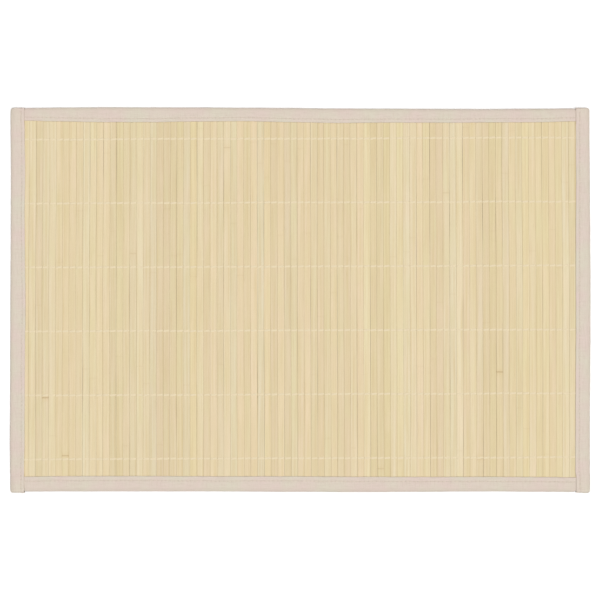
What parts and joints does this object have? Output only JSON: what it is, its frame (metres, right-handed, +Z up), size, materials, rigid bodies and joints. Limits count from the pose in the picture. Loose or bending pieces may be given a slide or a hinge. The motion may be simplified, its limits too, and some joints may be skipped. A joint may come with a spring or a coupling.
{
  "type": "bamboo placemat",
  "caption": "Rectangular table mat of flat bamboo slats joined by rows of twined warp thread, with a folded cloth tape bound over its edges.",
  "frame": {"origin": "middle of the mat's underside, on the table", "axes": "+X along the long side, across the slats; +Y along the slats, towards the far edge; +Z up"},
  "size_m": [0.4508, 0.2992, 0.0043],
  "materials": {
    "bamboo": "pale split bamboo with a light satin lacquer",
    "tape": "beige plain-weave cotton tape, matte"
  },
  "bodies": {
    "root": {"slat_panel": "bamboo", "tape_front": "tape", "tape_back": "tape", "tape_left": "tape", "tape_right": "tape"}
  },
  "joints": []
}
